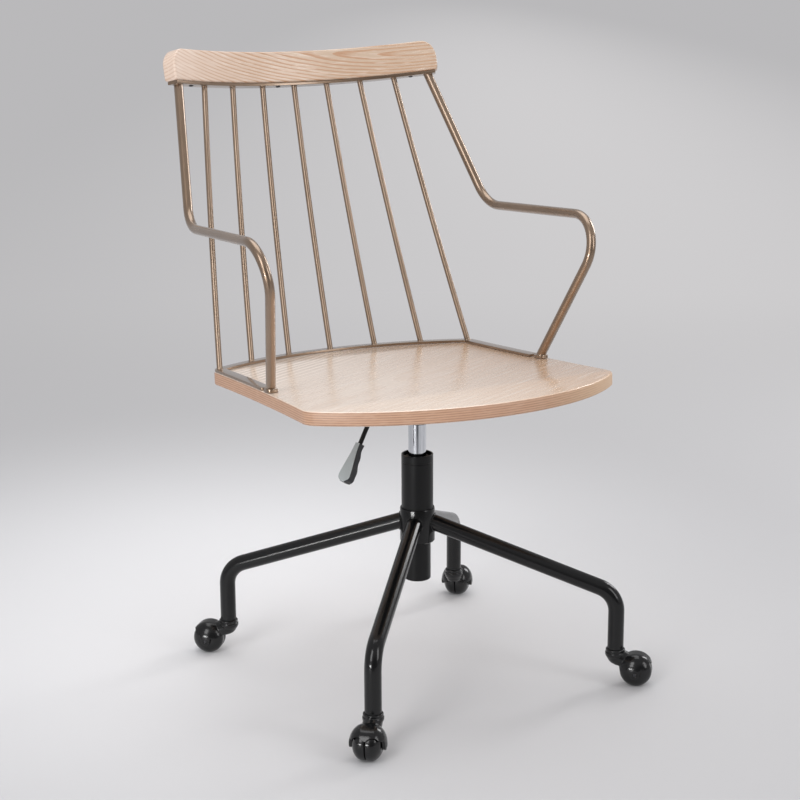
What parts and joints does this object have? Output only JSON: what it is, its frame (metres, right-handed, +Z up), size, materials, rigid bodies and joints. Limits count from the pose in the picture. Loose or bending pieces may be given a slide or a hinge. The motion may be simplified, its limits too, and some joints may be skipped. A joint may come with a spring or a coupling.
{
  "type": "swivel armchair",
  "caption": "Spindle-back swivel chair with oak seat and crest rail, bronze tube arms, gas lift and black tube base on twin-wheel casters.",
  "frame": {"origin": "on the floor under the middle of the chair's plan outline", "axes": "+Z up, -Y the way the chair faces, +X to the left of someone sitting in it"},
  "size_m": [0.5864, 0.7542, 0.9677],
  "materials": {
    "oak": "limed oak, satin lacquer",
    "bronze": "antique bronze, satin",
    "gloss_black": "gloss",
    "satin_black": "satin",
    "black_plastic": "gloss",
    "grey_plastic": "satin",
    "chrome": "polished",
    "steel": "zinc plated",
    "nylon": "satin"
  },
  "bodies": {
    "base": {"outer_tube": "satin_black", "guide_bushing": "nylon", "thrust_bearing": "steel", "hub_sleeve": "gloss_black", "leg_right": "gloss_black", "leg_front": "gloss_black", "leg_left": "gloss_black", "leg_back": "gloss_black", "leg_socket_right": "nylon", "leg_socket_front": "nylon", "leg_socket_left": "nylon", "leg_socket_back": "nylon"},
    "piston": {"piston_rod": "steel"},
    "seat": {"seat_panel": "oak", "seat_band": "bronze", "crest_strip": "bronze", "crest_rail": "oak", "arm_tube_left": "bronze", "arm_tube_right": "bronze", "arm_foot_left": "bronze", "arm_foot_right": "bronze", "spindle_1": "bronze", "spindle_2": "bronze", "spindle_3": "bronze", "spindle_4": "bronze", "spindle_5": "bronze", "spindle_6": "bronze", "spindle_7": "bronze", "mount_plate": "satin_black", "plate_bolt_1": "steel", "plate_bolt_2": "steel", "plate_bolt_3": "steel", "plate_bolt_4": "steel", "seat_spacer_left": "black_plastic", "seat_spacer_right": "black_plastic", "cone_housing": "satin_black", "inner_cylinder": "chrome"},
    "lever": {"lever_rod": "satin_black", "lever_paddle": "grey_plastic"},
    "button": {"valve_button": "steel"},
    "caster_right": {"caster_stem_right": "steel", "caster_hood_right": "black_plastic", "caster_axle_right": "steel"},
    "wheel_a_right": {"caster_wheel_a_right": "black_plastic"},
    "wheel_b_right": {"caster_wheel_b_right": "black_plastic"},
    "caster_front": {"caster_stem_front": "steel", "caster_hood_front": "black_plastic", "caster_axle_front": "steel"},
    "wheel_a_front": {"caster_wheel_a_front": "black_plastic"},
    "wheel_b_front": {"caster_wheel_b_front": "black_plastic"},
    "caster_left": {"caster_stem_left": "steel", "caster_hood_left": "black_plastic", "caster_axle_left": "steel"},
    "wheel_a_left": {"caster_wheel_a_left": "black_plastic"},
    "wheel_b_left": {"caster_wheel_b_left": "black_plastic"},
    "caster_back": {"caster_stem_back": "steel", "caster_hood_back": "black_plastic", "caster_axle_back": "steel"},
    "wheel_a_back": {"caster_wheel_a_back": "black_plastic"},
    "wheel_b_back": {"caster_wheel_b_back": "black_plastic"}
  },
  "joints": [
    {"name": "seat_swivel", "type": "hinge", "parent": "base", "child": "piston", "pos_m": [0, -0.07964, 0.16], "axis": [0, 0, 1], "continuous": true},
    {"name": "seat_lift", "type": "slide", "parent": "piston", "child": "seat", "axis": [0, 0, 1], "range_m": [-0.045, 0.055]},
    {"name": "lever_pull", "type": "hinge", "parent": "seat", "child": "lever", "pos_m": [-0.0302, -0.08859, 0.4438], "axis": [-0.284, 0.9588, 0], "range_deg": [0, 5], "stiffness_Nm_per_rad": 2},
    {"name": "valve_press", "type": "slide", "parent": "seat", "child": "button", "axis": [0, 0, -1], "range_m": [0, 0.0035]},
    {"name": "caster_swivel_right", "type": "hinge", "parent": "base", "child": "caster_right", "pos_m": [0.24156, -0.28414, 0.06], "axis": [0, 0, 1], "continuous": true},
    {"name": "wheel_spin_a_right", "type": "hinge", "parent": "caster_right", "child": "wheel_a_right", "pos_m": [0.26675, -0.30546, 0.025], "axis": [0.6461, 0.7632, 0], "continuous": true},
    {"name": "wheel_spin_b_right", "type": "hinge", "parent": "caster_right", "child": "wheel_b_right", "pos_m": [0.26675, -0.30546, 0.025], "axis": [0.6461, 0.7632, 0], "continuous": true},
    {"name": "caster_swivel_front", "type": "hinge", "parent": "base", "child": "caster_front", "pos_m": [-0.2045, -0.32121, 0.06], "axis": [0, 0, 1], "continuous": true},
    {"name": "wheel_spin_a_front", "type": "hinge", "parent": "caster_front", "child": "wheel_a_front", "pos_m": [-0.22582, -0.34639, 0.025], "axis": [0.7632, -0.6461, 0], "continuous": true},
    {"name": "wheel_spin_b_front", "type": "hinge", "parent": "caster_front", "child": "wheel_b_front", "pos_m": [-0.22582, -0.34639, 0.025], "axis": [0.7632, -0.6461, 0], "continuous": true},
    {"name": "caster_swivel_left", "type": "hinge", "parent": "base", "child": "caster_left", "pos_m": [-0.24156, 0.12485, 0.06], "axis": [0, 0, 1], "continuous": true},
    {"name": "wheel_spin_a_left", "type": "hinge", "parent": "caster_left", "child": "wheel_a_left", "pos_m": [-0.26675, 0.14618, 0.025], "axis": [-0.6461, -0.7632, 0], "continuous": true},
    {"name": "wheel_spin_b_left", "type": "hinge", "parent": "caster_left", "child": "wheel_b_left", "pos_m": [-0.26675, 0.14618, 0.025], "axis": [-0.6461, -0.7632, 0], "continuous": true},
    {"name": "caster_swivel_back", "type": "hinge", "parent": "base", "child": "caster_back", "pos_m": [0.2045, 0.16192, 0.06], "axis": [0, 0, 1], "continuous": true},
    {"name": "wheel_spin_a_back", "type": "hinge", "parent": "caster_back", "child": "wheel_a_back", "pos_m": [0.22582, 0.18711, 0.025], "axis": [-0.7632, 0.6461, 0], "continuous": true},
    {"name": "wheel_spin_b_back", "type": "hinge", "parent": "caster_back", "child": "wheel_b_back", "pos_m": [0.22582, 0.18711, 0.025], "axis": [-0.7632, 0.6461, 0], "continuous": true}
  ],
  "couplings": [
    {"joint": "valve_press", "follows": "lever_pull", "m_per_rad": 0.036}
  ]
}
